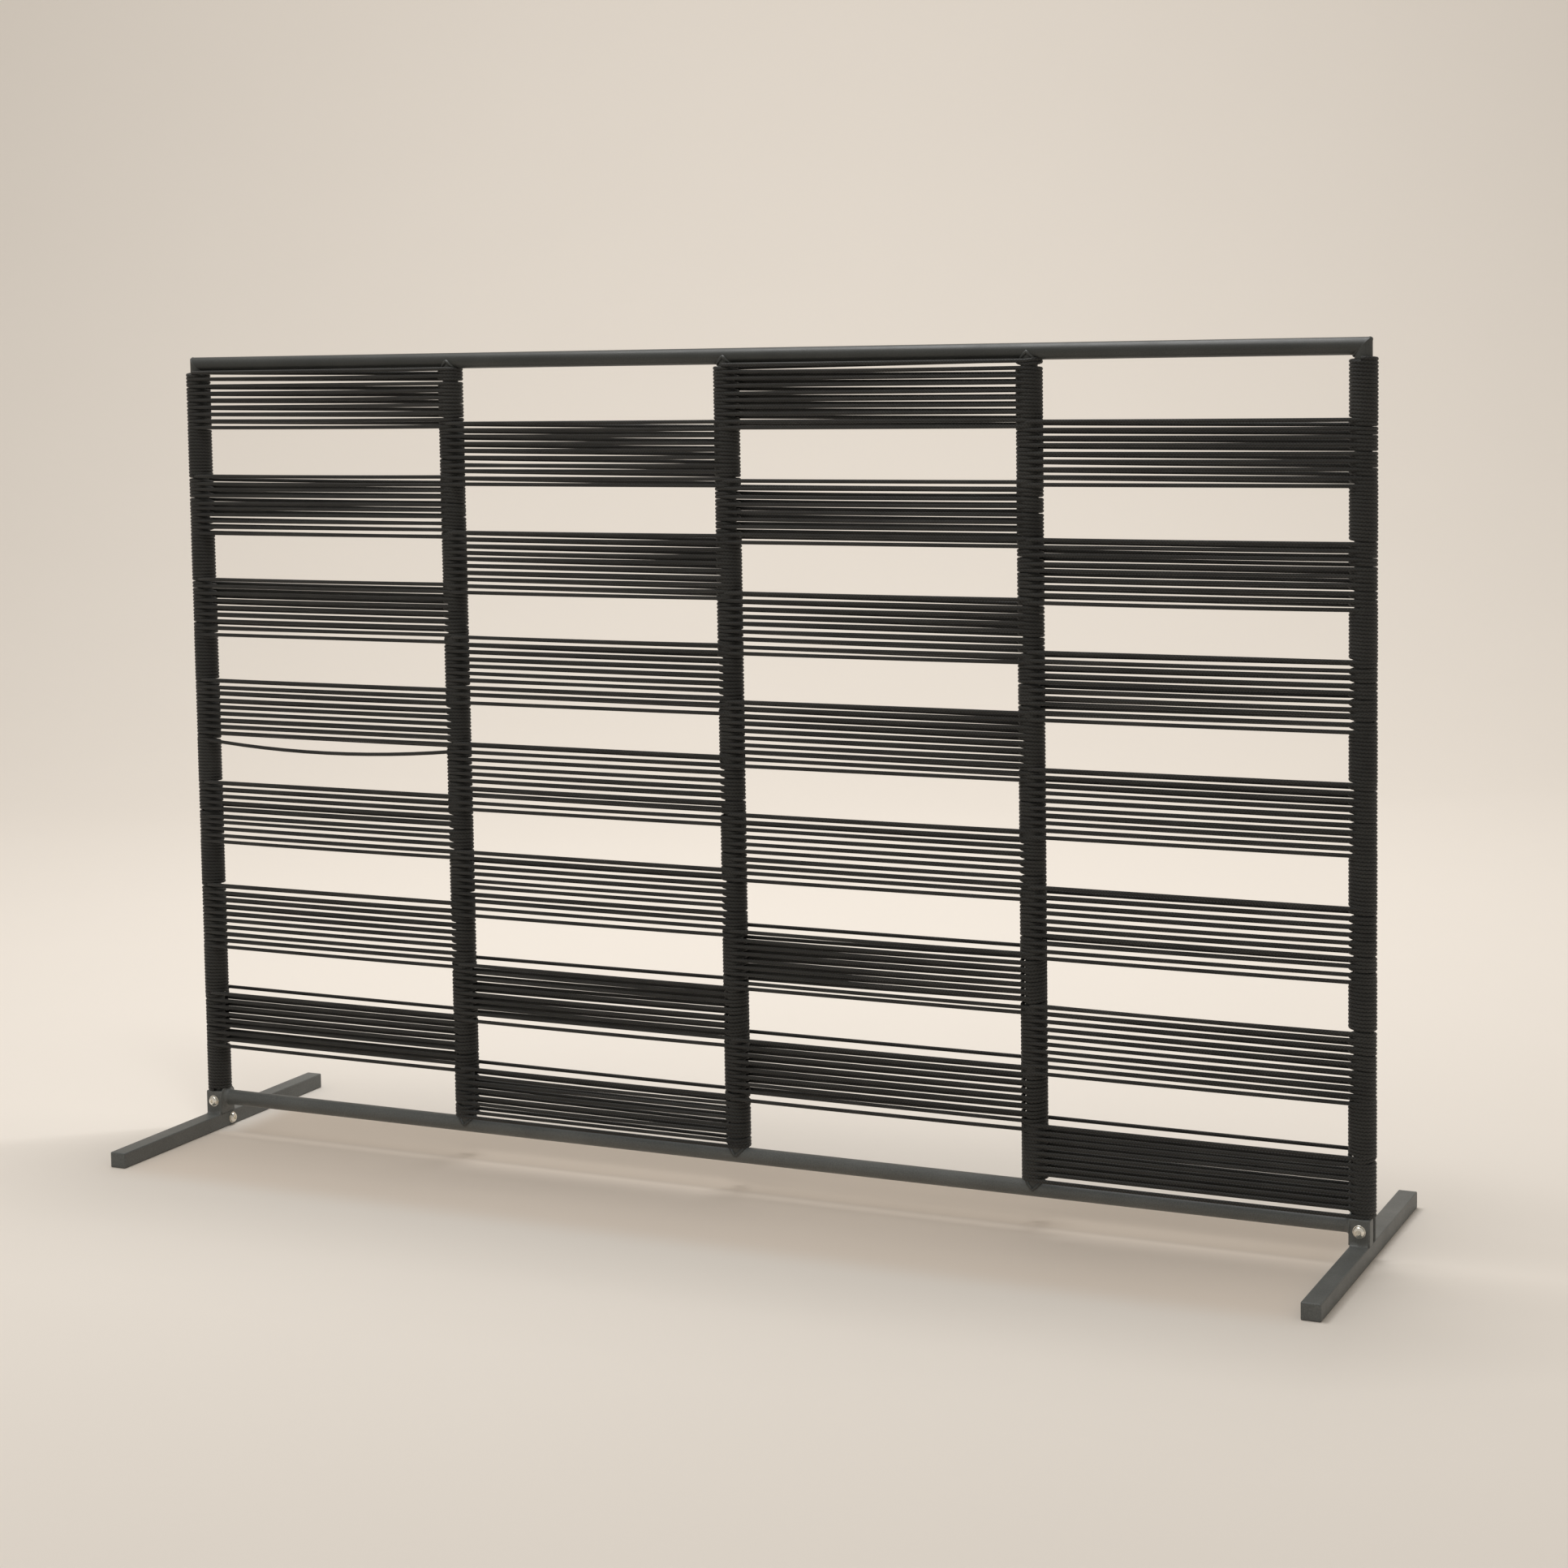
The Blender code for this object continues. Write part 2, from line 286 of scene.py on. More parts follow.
def bump_node(nodes, links, height, distance, strength, normal=None):
    node = nodes.new("ShaderNodeBump")
    node.inputs["Distance"].default_value = distance
    node.inputs["Strength"].default_value = strength
    links.new(height, node.inputs["Height"])
    if normal is not None:
        links.new(normal, node.inputs["Normal"])
    return node.outputs["Normal"]


# Materials


def powder_coat(name, dark, light):
    """Satin anthracite powder coat: a fine pebbled skin, with cloudy tone and rubbed patches."""
    material, nodes, links = new_material(name)
    shader = nodes["Principled BSDF"]
    place = nodes.new("ShaderNodeNewGeometry").outputs["Position"]
    cloud = noise_node(nodes, links, place, scale=14.0, detail=4.0)
    speck = noise_node(nodes, links, place, scale=900.0, detail=2.0)
    tone = ramp_node(nodes, links, cloud, [(0.3, dark), (0.72, light)])
    fleck = ramp_node(nodes, links, speck, [(0.35, grey(0.82)), (0.7, grey(1.12))])
    links.new(multiplied(nodes, links, tone, fleck), shader.inputs["Base Color"])
    rubbed = noise_node(nodes, links, place, scale=38.0, detail=5.0, roughness=0.6)
    links.new(spread(nodes, links, rubbed, low=0.36, high=0.58), shader.inputs["Roughness"])
    pebble = bump_node(nodes, links, speck, distance=0.00012, strength=0.55)
    skin = bump_node(nodes, links, rubbed, distance=0.0003, strength=0.3, normal=pebble)
    links.new(skin, shader.inputs["Normal"])
    shader.inputs["Specular IOR Level"].default_value = 0.5
    return material


def braided_rope():
    """Round braid: two crossing sets of strands, from the rope's own UVs (U round it, V along it in turns of
    the braid), with painted shade in the grooves between strands, painted highlight on their crowns, fuzz
    and a tone that drifts along the rope."""
    material, nodes, links = new_material("charcoal braided rope")
    shader = nodes["Principled BSDF"]
    uv = nodes.new("ShaderNodeUVMap")
    uv.uv_map = "rope"
    split = nodes.new("ShaderNodeSeparateXYZ")
    links.new(uv.outputs["UV"], split.inputs[0])
    around = math_node(nodes, links, "MULTIPLY", split.outputs["X"], BRAID_STRANDS * 2 * math.pi)
    along = math_node(nodes, links, "MULTIPLY", split.outputs["Y"], BRAID_STRANDS * 2 * math.pi)
    waves = []
    for operation in ("ADD", "SUBTRACT"):
        phase = math_node(nodes, links, operation, around, along)
        waves.append(math_node(nodes, links, "SINE", phase))
    strand = math_node(nodes, links, "MAXIMUM", *waves)
    height = math_node(nodes, links, "MULTIPLY_ADD", strand, 0.5, 0.5)
    place = nodes.new("ShaderNodeNewGeometry").outputs["Position"]
    fuzz = noise_node(nodes, links, place, scale=2200.0, detail=3.0, roughness=0.7)
    drift = noise_node(nodes, links, place, scale=26.0, detail=3.0)
    tone = ramp_node(nodes, links, drift, [(0.3, (0.016, 0.0165, 0.016)), (0.7, (0.030, 0.0305, 0.029))])
    # Painted shade and highlight: the grooves between the braid's strands darker, the crowns lighter.
    groove = ramp_node(nodes, links, height, [(0.25, grey(0.40)), (0.85, (1.25, 1.22, 1.18))])
    braid_shaded_tone = multiplied(nodes, links, tone, groove)
    lint = ramp_node(nodes, links, fuzz, [(0.45, grey(0.85)), (0.75, grey(1.35))])
    links.new(multiplied(nodes, links, braid_shaded_tone, lint), shader.inputs["Base Color"])
    shader.inputs["Roughness"].default_value = 0.58
    shader.inputs["Specular IOR Level"].default_value = 0.35
    shader.inputs["Sheen Weight"].default_value = 0.08
    shader.inputs["Sheen Roughness"].default_value = 0.5
    fibre = bump_node(nodes, links, fuzz, distance=0.00015, strength=0.5)
    braid = bump_node(nodes, links, height, distance=0.0004, strength=0.9, normal=fibre)
    links.new(braid, shader.inputs["Normal"])
    return material


def plated_steel():
    """Bright nickel plating with faint turning marks and handling haze."""
    material, nodes, links = new_material("nickel plating")
    shader = nodes["Principled BSDF"]
    place = nodes.new("ShaderNodeNewGeometry").outputs["Position"]
    haze = noise_node(nodes, links, place, scale=420.0, detail=4.0, roughness=0.6)
    tone = ramp_node(nodes, links, haze, [(0.3, (0.80, 0.77, 0.69)), (0.7, (0.97, 0.95, 0.88))])
    links.new(tone, shader.inputs["Base Color"])
    shader.inputs["Metallic"].default_value = 1.0
    links.new(spread(nodes, links, haze, low=0.14, high=0.34), shader.inputs["Roughness"])
    marks = bump_node(nodes, links, haze, distance=0.00008, strength=0.4)
    links.new(marks, shader.inputs["Normal"])
    return material


def soft_step(nodes, links, value, edge, softness, rising):
    """0 to 1 across a soft edge of a coordinate, or 1 to 0."""
    node = nodes.new("ShaderNodeMapRange")
    node.interpolation_type = "SMOOTHERSTEP"
    links.new(value, node.inputs["Value"])
    node.inputs["From Min"].default_value = edge - softness
    node.inputs["From Max"].default_value = edge + softness
    node.inputs["To Min"].default_value = 0.0 if rising else 1.0
    node.inputs["To Max"].default_value = 1.0 if rising else 0.0
    return node.outputs["Result"]


def paper_floor():
    """Seamless pale studio floor, with a soft shadow painted into its colour where the screen stands."""
    material, nodes, links = new_material("pale floor")
    shader = nodes["Principled BSDF"]
    place = nodes.new("ShaderNodeNewGeometry").outputs["Position"]
    grain = noise_node(nodes, links, place, scale=3.0, detail=4.0)
    tone = ramp_node(nodes, links, grain, [(0.3, (0.775, 0.725, 0.665)), (0.7, (0.78, 0.73, 0.67))])
    split = nodes.new("ShaderNodeSeparateXYZ")
    links.new(place, split.inputs[0])
    # Painted shadow: each box multiplies the floor's colour darker inside its soft edges.
    for edges_x, edges_y, colour in PAINTED_FLOOR_SHADOWS:
        shade = None
        for axis, edges in (("X", edges_x), ("Y", edges_y)):
            for (edge, softness), rising in zip(edges, (True, False)):
                step = soft_step(nodes, links, split.outputs[axis], edge, softness, rising)
                shade = step if shade is None else math_node(nodes, links, "MULTIPLY", shade, step)
        tone = multiplied(nodes, links, tone, colour, shade)
    links.new(tone, shader.inputs["Base Color"])
    shader.inputs["Roughness"].default_value = 0.95
    shader.inputs["Specular IOR Level"].default_value = 0.1
    return material


# One anthracite powder coat as lit and shaded copies: painted darkest on the top rail, lighter on the posts
# and welds, lightest on the feet and bottom rail, for how the light falls on each.
COAT_PAINTED_DARK = powder_coat("anthracite powder coat", dark=(0.034, 0.037, 0.035), light=(0.050, 0.053, 0.050))
COAT_PAINTED_MID = powder_coat("powder coat painted mid shade", dark=(0.046, 0.050, 0.048), light=(0.066, 0.070, 0.067))
COAT_PAINTED_LIT = powder_coat("powder coat painted lit", dark=(0.096, 0.103, 0.100), light=(0.132, 0.139, 0.134))
ROPE = braided_rope()
STEEL = plated_steel()
FLOOR = paper_floor()


# Building blocks


def add_piece(name, mesh, material, slot, *nodes):
    """Links a mesh as a piece that rides on the body and stands for CAD nodes."""
    mesh.materials.append(material)
    piece = bpy.data.objects.new(name, mesh)
    bpy.context.scene.collection.objects.link(piece)
    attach(piece, "root")
    if nodes:
        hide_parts(*nodes)
    return piece


def without_shadow(piece):
    """For a piece that would draw a hard line of shadow on the floor, close to the bottom rail."""
    piece.visible_shadow = False


def mesh_from_bmesh(name, bm, sharp_degrees=40):
    """A smooth mesh whose edges are sharp where its faces turn by more than an angle."""
    bmesh.ops.recalc_face_normals(bm, faces=bm.faces)
    mesh = bpy.data.meshes.new(name)
    bm.to_mesh(mesh)
    bm.free()
    mesh.shade_smooth()
    mesh.set_sharp_from_angle(angle=math.radians(sharp_degrees))
    return mesh


def swept(name, path, radius, sides, closed=False, uv_pitch=None):
    """A round section swept along a path. The section turns as little as it can, and its UVs run once round
    in U and once for each uv_pitch of length in V."""
    path = np.asarray(path, float)
    count = len(path)
    if closed:
        tangents = np.roll(path, -1, 0) - np.roll(path, 1, 0)
    else:
        tangents = np.gradient(path, axis=0)
    tangents /= np.linalg.norm(tangents, axis=1)[:, None]
    up = np.array([0.0, 0.0, 1.0])
    across = np.cross(tangents, up)
    across /= np.linalg.norm(across, axis=1)[:, None]
    rise = np.cross(across, tangents)
    turns = 2 * math.pi * np.arange(sides) / sides
    radii = np.broadcast_to(radius, (count,))
    rings = path[:, None] + radii[:, None, None] * (
        np.cos(turns)[None, :, None] * across[:, None] + np.sin(turns)[None, :, None] * rise[:, None]
    )
    verts = rings.reshape(-1, 3)
    spans = count if closed else count - 1
    i, j = np.meshgrid(np.arange(spans), np.arange(sides), indexing="ij")
    ahead, beside = (i + 1) % count, (j + 1) % sides
    corners = [i * sides + j, i * sides + beside, ahead * sides + beside, ahead * sides + j]
    faces = np.stack(corners, -1).reshape(-1, 4)[:, ::-1]
    mesh = bpy.data.meshes.new(name)
    polygons = [tuple(face) for face in faces.tolist()]
    if not closed:
        polygons.append(tuple(range(sides)))
        polygons.append(tuple(range(count * sides - 1, (count - 1) * sides - 1, -1)))
    mesh.from_pydata(verts.tolist(), [], polygons)
    if uv_pitch:
        lengths = np.concatenate([[0], np.cumsum(np.linalg.norm(np.diff(path, axis=0), axis=1))])
        write_uvs(mesh, i.reshape(-1), j.reshape(-1), sides, lengths / uv_pitch)
    mesh.shade_smooth()
    mesh.validate()
    return mesh


def write_uvs(mesh, spans, strips, sides, along):
    """UVs for each face of a sweep, given its span along the path and its strip round the section."""
    us = np.stack([strips, strips + 1, strips + 1, strips], -1)[:, ::-1] / sides
    vs = along[np.stack([spans, spans, spans + 1, spans + 1], -1)][:, ::-1]
    uv = np.stack([us, vs], -1).reshape(-1, 2)
    caps = np.zeros((len(mesh.loops) - len(uv), 2))
    layer = mesh.uv_layers.new(name="rope")
    layer.data.foreach_set("uv", np.concatenate([uv, caps]).astype(np.float32).ravel())


# Frame tubes


def post_x(index):
    """Where a post stands, counted from 0 at the left end."""
    return -HALF_WIDTH + index * COLUMN_WIDTH


def tube(name, coat, place, low_end, high_end, node):
    """A smooth round tube. place(u, v, w) puts section point (u, v) at w along it. Each end is cut by a
    function of (u, v) and closed by strips straight across it, because a mitred end bends."""
    bm = bmesh.new()
    rings = []
    for end in (low_end, high_end):
        ring = []
        for k in range(TUBE_SIDES):
            turn = 2 * math.pi * k / TUBE_SIDES
            u, v = TUBE_RADIUS * math.cos(turn), TUBE_RADIUS * math.sin(turn)
            ring.append(bm.verts.new(place(u, v, end(u, v))))
        rings.append(ring)
    for k in range(TUBE_SIDES):
        after = (k + 1) % TUBE_SIDES
        bm.faces.new((rings[0][k], rings[0][after], rings[1][after], rings[1][k]))
    quarter = TUBE_SIDES // 4
    for ring in rings:
        for k in range(-quarter, quarter):
            strip = (k, k + 1, 2 * quarter - k - 1, 2 * quarter - k)
            bm.faces.new(list(dict.fromkeys(ring[index % TUBE_SIDES] for index in strip)))
    return add_piece(name, mesh_from_bmesh(name, bm), coat, "frame", node)


def weld_bead(name, path, radius, seed):
    """A closed bead with the small ripples of a weld."""
    rng = random.Random(seed)
    lumps = [rng.uniform(*WELD_RIPPLE) for _ in path]
    mesh = swept(name, path, radius * np.array(lumps), WELD_SIDES, closed=True)
    add_piece(name, mesh, COAT_PAINTED_MID, "frame")


def build_rails():
    tube(
        "top_rail_tube",
        COAT_PAINTED_DARK,
        lambda u, v, w: (w, u, TOP_Z + v),
        lambda u, v: -HALF_WIDTH - min(v, TUBE_RADIUS - MITRE_OUTER),
        lambda u, v: HALF_WIDTH + min(v, TUBE_RADIUS - MITRE_OUTER),
        "top_rail",
    )
    rail = tube(
        "bottom_rail_tube",
        COAT_PAINTED_LIT,
        lambda u, v, w: (w, u, BOTTOM_Z + v),
        lambda u, v: BOTTOM_LOW.x,
        lambda u, v: BOTTOM_HIGH.x,
        "bottom_rail",
    )
    without_shadow(rail)


def inner_post(node, x):
    """A post that runs from the middle of one rail to the middle of the other."""
    post = tube(
        f"{node}_tube",
        COAT_PAINTED_MID,
        lambda u, v, w: (x + u, v, w),
        lambda u, v: BOTTOM_Z,
        lambda u, v: TOP_Z,
        node,
    )
    without_shadow(post)


def end_post(node, side):
    """A post that stands in a foot socket and is mitred to the top rail."""
    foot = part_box(node)[0].z
    tube(
        f"{node}_tube",
        COAT_PAINTED_MID,
        lambda u, v, w: (side * HALF_WIDTH + u, v, w),
        lambda u, v: foot,
        lambda u, v: TOP_Z + min(side * u, TUBE_RADIUS - MITRE_OUTER),
        node,
    )


def build_posts():
    end_post("post_left_end", -1)
    for index in range(1, COLUMNS):
        inner_post(f"post_{index + 1}", post_x(index))
    end_post("post_right_end", 1)


def build_welds():
    """Beads round the inner posts at both rails, and along the mitres of the top corners."""
    turns = [2 * math.pi * k / WELD_STEPS for k in range(WELD_STEPS)]
    ring_radius = TUBE_RADIUS + POST_WELD_LIFT
    for index in range(1, COLUMNS):
        x = post_x(index)
        for name, rail_z, way in (("top", TOP_Z, -1), ("bottom", BOTTOM_Z, 1)):
            path = []
            for turn in turns:
                y = ring_radius * math.sin(turn)
                depth = math.sqrt(max(ring_radius**2 - y**2, 0))
                path.append((x + ring_radius * math.cos(turn), y, rail_z + way * depth))
            weld_bead(f"weld_{name}_{index + 1}", path, POST_WELD, index)
    for name, side in SIDES:
        path, radii = [], []
        for turn in turns:
            outer = max(0, math.cos(turn)) ** MITRE_FADE
            inner = max(0, -math.cos(turn)) ** MITRE_FADE
            radii.append(MITRE_WELD + MITRE_OUTER * outer + MITRE_INNER * inner)
            reach = TUBE_RADIUS - MITRE_OUTER * outer - MITRE_WELD / 2
            u, v = reach * math.cos(turn), reach * math.sin(turn)
            path.append((side * (HALF_WIDTH + u), v, TOP_Z + u))
        weld_bead(f"weld_mitre_{name}", path, np.array(radii), 10 + side)


# Rope


def row_top(row):
    """The height of the top of a row, counted from 1 at the top rail."""
    return WOUND_TOP - (row - 1) * ROW_HEIGHT


def winding(centre_x, start, turns, *heights):
    """Points round a post from angle start, anticlockwise from above, through evenly spaced heights."""
    steps = round(turns * ROPE_STEPS_PER_TURN)
    points = []
    for k in range(steps + 1):
        angle = start + 2 * math.pi * turns * k / steps
        x = centre_x + WINDING_RADIUS * math.cos(angle)
        y = WINDING_RADIUS * math.sin(angle)
        along = (len(heights) - 1) * k / steps
        step = min(int(along), len(heights) - 2)
        fall = heights[step + 1] - heights[step]
        points.append((x, y, heights[step] + fall * (along - step)))
    return points


def side_by_side(high, low):
    """Heights at each half turn of a winding of one and a half turns, so that its turns lie side by side."""
    return high, low + PITCH, high - PITCH, low


def run(start, end, sag):
    """Inner points of a strand that runs from post to post and hangs by sag in the middle."""
    points = []
    for k in range(1, RUN_STEPS):
        t = k / RUN_STEPS
        x, y, z = (a + (b - a) * t for a, b in zip(start, end))
        points.append((x, y, z - 4 * sag * t * (1 - t)))
    return points


def stray(rng):
    """How far the two ends of a run lie off their place: a little always, and now and then more."""
    off = min(max(rng.gauss(0, JITTER), -2 * JITTER), 2 * JITTER)
    if rng.random() < STRAY_CHANCE:
        off += rng.choice((-STRAY, STRAY))
    twist = rng.gauss(0, TWIST)
    return (off + twist) * PITCH, (off - twist) * PITCH


def band_path(key, left_x, right_x, top, rng):
    """One rope from the top of a band to its bottom: along the front, one and a half turns round the right
    post, back along the rear, one and a half turns round the left post, and so on, ending on a front run."""
    above, below, drop_left, drop_right, change = WINDINGS[key]
    span = TURNS_PER_ROW + above + below
    cycles = round(span / FRONT_SPACING)
    places = [top + (above - span * cycle / cycles) * PITCH for cycle in range(cycles + 1)]
    fronts = []
    for place in places:
        left_off, right_off = stray(rng)
        fronts.append((place + left_off, place + right_off))
    points = []
    for cycle, (left_z, right_z) in enumerate(fronts):
        leave, arrive = (left_x, -WINDING_RADIUS, left_z), (right_x, -WINDING_RADIUS, right_z)
        sag = abs(rng.gauss(0, SAG))
        if key == LOOSE_BAND and cycle == cycles:
            sag = LOOSE_SAG
        points += [leave, *run(leave, arrive, sag)]
        if cycle == cycles:
            spare = max(0.0, -below - LAST_GAP)
            points += winding(right_x, FRONT, spare + LAST_TURN, right_z, right_z - spare * PITCH)
            break
        lean = change * (cycle / (cycles - 1) - 0.5)
        drops = (drop_left + lean, drop_right + lean)
        if cycle == 0:
            drops = FIRST_REAR.get(key, drops)
        left_off, right_off = stray(rng)
        rear_left = places[cycle] - drops[0] * PITCH + left_off
        rear_right = places[cycle] - drops[1] * PITCH + right_off
        round_right = winding(right_x, FRONT, WOUND_TURNS, *side_by_side(right_z, rear_right))
        next_left_z = fronts[cycle + 1][0]
        round_left = winding(left_x, REAR, WOUND_TURNS, *side_by_side(rear_left, next_left_z))
        points += round_right
        points += run(round_right[-1], round_left[0], abs(rng.gauss(0, SAG)))
        points += round_left[:-1]
    return points


def build_rope_bands():
    for name in BANDS:
        key = name.removeprefix("rope_band_")
        column, row = int(key[1]), int(key[-2:])
        rng = random.Random(100 * column + row)
        path = band_path(key, post_x(column - 1), post_x(column), row_top(row), rng)
        mesh = swept(f"{name}_wound", path, ROPE_RADIUS, ROPE_SIDES, uv_pitch=BRAID_LENGTH)
        band = add_piece(f"{name}_wound", mesh, ROPE, "rope", name)
        if row == ROWS:
            without_shadow(band)


def build_rope_sleeves():
    """Each sleeve fills the outer side of an end post between the last turn of the band above it and the
    first turn of the band below it."""
    for name in SLEEVES:
        low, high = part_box(name)
        side = name.split("_")[2]
        row = int(name[-2:])
        column, angle = (1, REAR) if side == "left" else (COLUMNS, FRONT)
        gap_above, gap_below = SLEEVE_GAPS[side]
        start, end = RAIL_GAPS[0], TURNS_PER_ROW - RAIL_GAPS[1]
        if row > 1:
            start = WINDINGS[f"c{column}_r{row - 1:02d}"][1] + gap_above
        if row < ROWS:
            end = TURNS_PER_ROW - WINDINGS[f"c{column}_r{row + 1:02d}"][0] - gap_below
        turns = round(end - start)
        lead = (end - start) / turns * SLEEVE_LEAD
        heights = row_top(row) - (start - lead) * PITCH, row_top(row) - (end + lead) * PITCH
        path = winding((low.x + high.x) / 2, angle, turns + 2 * SLEEVE_LEAD, *heights)
        mesh = swept(f"{name}_wound", path, ROPE_RADIUS, ROPE_SIDES, uv_pitch=BRAID_LENGTH)
        add_piece(f"{name}_wound", mesh, ROPE, "rope", name)


# Feet and bolts


def round_edges(piece, edge):
    bevel = piece.modifiers.new("Edges", "BEVEL")
    bevel.width = edge
    bevel.segments = EDGE_SEGMENTS
    bevel.angle_limit = EDGE_ANGLE


def prism(name, outline, place, low, high, edge, *nodes):
    """A closed outline of (a, b) carried from low to high, with its edges rounded."""
    bm = bmesh.new()
    rings = [[bm.verts.new(place(a, b, end)) for a, b in outline] for end in (low, high)]
    count = len(outline)
    for k in range(count):
        after = (k + 1) % count
        bm.faces.new((rings[0][k], rings[0][after], rings[1][after], rings[1][k]))
    for ring in rings:
        bm.faces.new(ring)
    piece = add_piece(name, mesh_from_bmesh(name, bm, sharp_degrees=50), COAT_PAINTED_LIT, "frame", *nodes)
    round_edges(piece, edge)


def fillet_outline(size):
    """A concave quarter-round in the corner of two faces."""
    arc = []
    for k in range(FILLET_STEPS + 1):
        turn = 0.5 * math.pi * k / FILLET_STEPS
        arc.append((size * (1 - math.sin(turn)), size * (1 - math.cos(turn))))
    sunk = -size * FILLET_SINK
    return [(sunk, sunk), (size, sunk), *arc, (sunk, size)]


def build_feet():
    """Each foot is a bar with a socket welded on it, front and rear, and the bottom rail welded to that."""
    for name, side in SIDES:
        low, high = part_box(f"foot_bar_{name}")
        bar = [(low.x, low.z), (high.x, low.z), (high.x, high.z), (low.x, high.z)]
        prism(
            f"foot_{name}",
            bar,
            lambda a, b, w: (a, w, b),
            low.y,
            high.y,
            BAR_EDGE,
            f"foot_bar_{name}",
        )
        bar_top, half_bar = high.z, (high.x - low.x) / 2
        build_socket(name, side, bar_top)
        x = side * HALF_WIDTH
        for end, way in (("front", -1), ("rear", 1)):
            prism(
                f"foot_weld_{name}_{end}",
                fillet_outline(BASE_WELD),
                lambda a, b, w: (x + w, way * (SOCKET_Y + a), bar_top + b),
                WELD_EDGE - half_bar,
                half_bar - WELD_EDGE,
                WELD_EDGE,
            )
        rail_weld(name, side)


def build_socket(name, side, base):
    """An upright box with a groove up the rear of its outer side."""
    low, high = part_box(f"foot_socket_{name}")
    x = (high.x - low.x) / 2 - SOCKET_FLANGE
    outline = [
        (-x, -SOCKET_Y),
        (x, -SOCKET_Y),
        (x, GROOVE_START),
        (x - GROOVE_DEPTH, GROOVE_START),
        (x - GROOVE_DEPTH, GROOVE_END),
        (x, GROOVE_END),
        (x, SOCKET_Y),
        (-x, SOCKET_Y),
    ]
    prism(
        f"socket_{name}",
        outline,
        lambda a, b, w: (side * (HALF_WIDTH + a), b, w),
        base,
        high.z,
        SOCKET_EDGE,
        f"foot_socket_{name}",
    )


def rail_weld(name, side):
    """A concave ring of weld where the bottom rail meets the socket."""
    bm = bmesh.new()
    rings = []
    for a, b in fillet_outline(RAIL_WELD):
        ring = []
        for k in range(TUBE_SIDES):
            turn = 2 * math.pi * k / TUBE_SIDES
            reach = TUBE_RADIUS + b
            x = side * (HALF_WIDTH - SOCKET_X - a)
            ring.append(bm.verts.new((x, reach * math.cos(turn), BOTTOM_Z + reach * math.sin(turn))))
        rings.append(ring)
    for near, far in zip(rings, rings[1:] + rings[:1]):
        for k in range(TUBE_SIDES):
            after = (k + 1) % TUBE_SIDES
            bm.faces.new((near[k], near[after], far[after], far[k]))
    add_piece(f"rail_weld_{name}", mesh_from_bmesh(f"rail_weld_{name}", bm), COAT_PAINTED_LIT, "frame")


def lathe(name, profile, place, closed, *nodes):
    """Rings of (reach(turn), height) joined one to the next, capped or closed on themselves."""
    bm = bmesh.new()
    rings = []
    for reach, height in profile:
        ring = []
        for k in range(BOLT_SIDES):
            turn = 2 * math.pi * k / BOLT_SIDES
            radius = reach(turn) if callable(reach) else reach
            ring.append(bm.verts.new(place(radius * math.cos(turn), radius * math.sin(turn), height)))
        rings.append(ring)
    pairs = list(zip(rings, rings[1:]))
    if closed:
        pairs.append((rings[-1], rings[0]))
    else:
        bm.faces.new(rings[0])
        bm.faces.new(rings[-1])
    for lower, upper in pairs:
        for k in range(BOLT_SIDES):
            after = (k + 1) % BOLT_SIDES
            bm.faces.new((lower[k], lower[after], upper[after], upper[k]))
    add_piece(name, mesh_from_bmesh(name, bm, sharp_degrees=30), STEEL, "bolt", *nodes)


def hexagon(turn):
    """Reach of the hexagonal drive at an angle."""
    wedge = (turn + math.pi / 6) % (math.pi / 3) - math.pi / 6
    return DRIVE_FLAT / math.cos(wedge)


def bolt(name, place, node):
    """A button head with a hexagonal drive on a plain washer. place(x, y, height) has height 0 under the
    washer."""
    dome = []
    for k in range(DOME_STEPS + 1):
        turn = DOME_TURN * k / DOME_STEPS
        rise = (HEAD_HEIGHT - HEAD_RIM) * math.sin(turn) / math.sin(DOME_TURN)
        dome.append((HEAD_RADIUS * math.cos(turn), WASHER_THICKNESS + HEAD_RIM + rise))
    top = WASHER_THICKNESS + HEAD_HEIGHT
    profile = [
        (HEAD_RADIUS - HEAD_RIM, WASHER_THICKNESS),
        *dome,
        (hexagon, top),
        (hexagon, top - DRIVE_DEPTH),
    ]
    lathe(f"{name}_head", profile, place, False, node)
    washer = [
        (WASHER_BORE, 0),
        (WASHER_RADIUS, 0),
        (WASHER_RADIUS, WASHER_THICKNESS - WASHER_EDGE),
        (WASHER_RADIUS - WASHER_EDGE, WASHER_THICKNESS),
        (WASHER_BORE, WASHER_THICKNESS),
    ]
    lathe(f"{name}_washer", washer, place, True)


def build_bolts():
    """One bolt in the front of each socket, and one in the inner side of each foot bar."""
    for name, side in SIDES:
        low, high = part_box(f"post_bolt_{name}")
        x, z = (low.x + high.x) / 2, (low.z + high.z) / 2
        bolt(
            f"post_bolt_{name}",
            lambda a, b, h: (x + a, -SOCKET_Y - h, z + b),
            f"post_bolt_{name}",
        )
        low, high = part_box(f"foot_bolt_{name}")
        y, z = (low.y + high.y) / 2, (low.z + high.z) / 2
        bar_low, bar_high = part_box(f"foot_bar_{name}")
        face = bar_high.x if side < 0 else bar_low.x
        bolt(
            f"foot_bolt_{name}",
            lambda a, b, h: (face - side * h, y + a, z + b),
            f"foot_bolt_{name}",
        )


# Stage, light and camera


def facing(x, y, z):
    """A point given in the direction the camera looks along the floor: y away from it, x to its right."""
    return Matrix.Rotation(CAMERA_YAW, 4, "Z") @ Vector((x, y, z))


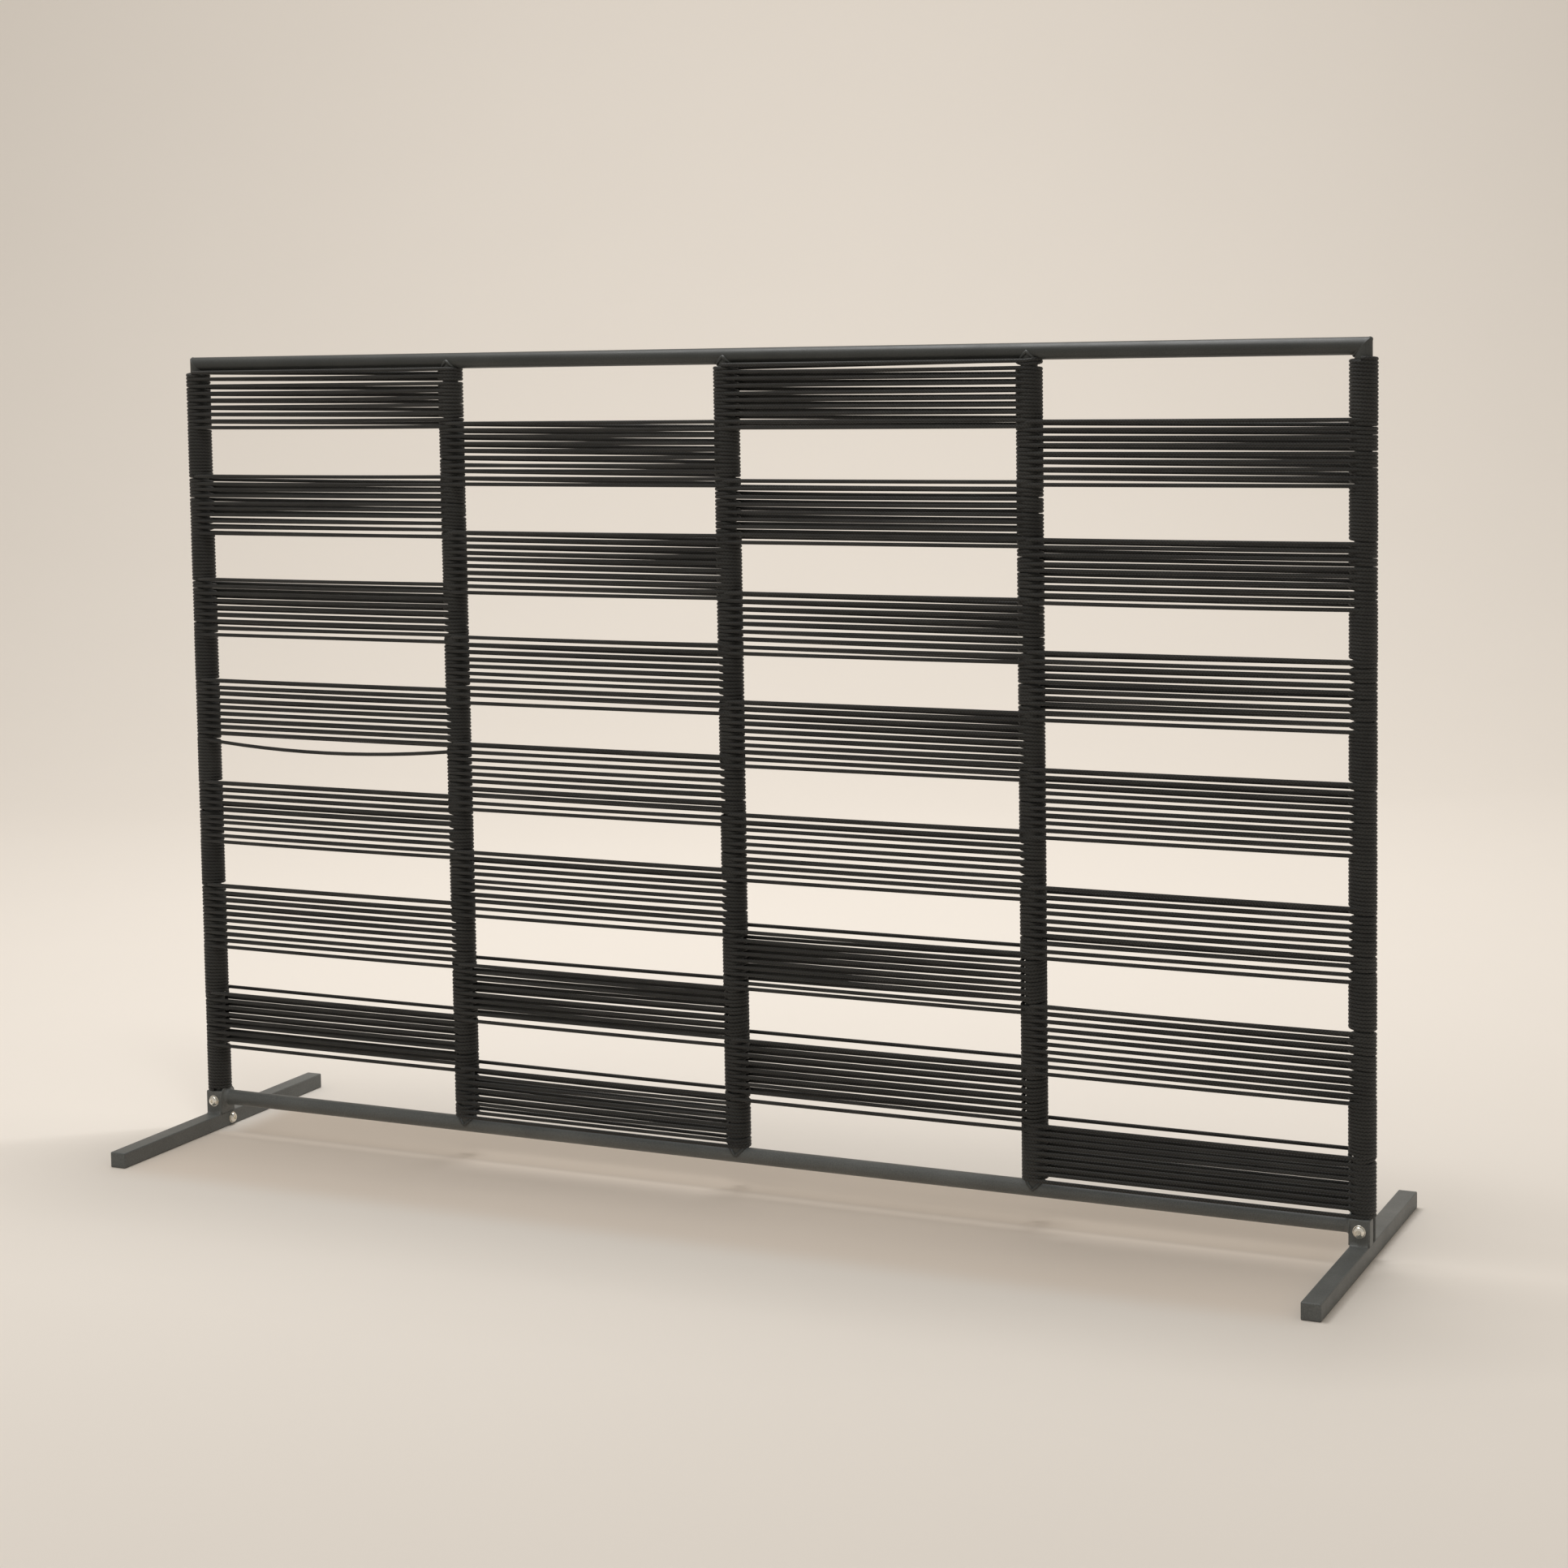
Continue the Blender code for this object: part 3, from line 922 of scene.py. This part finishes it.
def build_stage():
    """A floor that bends up into a backdrop, square to the camera."""
    bm = bmesh.new()
    profile = [(-STAGE_REACH, 0.0), (SWEEP_START, 0.0)]
    for k in range(1, SWEEP_STEPS + 1):
        turn = 0.5 * math.pi * k / SWEEP_STEPS
        y = SWEEP_START + SWEEP_RADIUS * math.sin(turn)
        profile.append((y, SWEEP_RADIUS * (1 - math.cos(turn))))
    profile.append((SWEEP_START + SWEEP_RADIUS, STAGE_REACH))
    ends = (-STAGE_HALF_WIDTH, STAGE_HALF_WIDTH)
    rows = [[bm.verts.new(facing(x, y, z)) for x in ends] for y, z in profile]
    for near, far in zip(rows, rows[1:]):
        bm.faces.new((near[0], near[1], far[1], far[0]))
    mesh = mesh_from_bmesh("stage_floor", bm, sharp_degrees=80)
    mesh.materials.append(FLOOR)
    stage = bpy.data.objects.new("stage_floor", mesh)
    bpy.context.scene.collection.objects.link(stage)


def area_light(name, place, target, size, power):
    """A white rectangle of light at a place, turned to a target."""
    light = bpy.data.lights.new(name, "AREA")
    light.shape = "RECTANGLE"
    light.size, light.size_y = size
    light.energy = power
    lamp = bpy.data.objects.new(name, light)
    bpy.context.scene.collection.objects.link(lamp)
    lamp.location = place
    lamp.rotation_euler = (Vector(target) - Vector(place)).to_track_quat("-Z", "Y").to_euler()


def build_lights():
    """Two long strips high above the screen, behind it and in front, and a wash on the backdrop."""
    for name, (place, size, power) in STRIPS.items():
        area_light(name, place, (0, 0, 0), size, power)
    area_light("wash", facing(*WASH_PLACE), facing(*WASH_TARGET), WASH_SIZE, WASH_POWER)
    world = bpy.data.worlds.new("studio")
    bpy.context.scene.world = world
    world.use_nodes = True
    background = world.node_tree.nodes["Background"]
    background.inputs["Color"].default_value = (*WORLD_COLOUR, 1)
    background.inputs["Strength"].default_value = WORLD_STRENGTH
    bpy.context.scene.view_settings.view_transform = "Standard"


def build_camera():
    """A long lens at standing distance, in front and to the right of the screen."""
    data = bpy.data.cameras.new("camera")
    data.sensor_width = CAMERA_SENSOR
    data.lens = CAMERA_LENS
    data.shift_x, data.shift_y = CAMERA_SHIFT
    camera = bpy.data.objects.new("camera", data)
    bpy.context.scene.collection.objects.link(camera)
    turned = Matrix.Rotation(CAMERA_YAW, 4, "Z") @ Matrix.Rotation(math.pi / 2 + CAMERA_PITCH, 4, "X")
    placed = Matrix.Translation(CAMERA_PLACE) @ turned
    camera.matrix_world = placed @ Matrix.Rotation(CAMERA_ROLL, 4, "Z")
    bpy.context.scene.camera = camera


build_rails()
build_posts()
build_welds()
build_rope_bands()
build_rope_sleeves()
build_feet()
build_bolts()
build_stage()
build_lights()
build_camera()

bpy.context.view_layer.update()
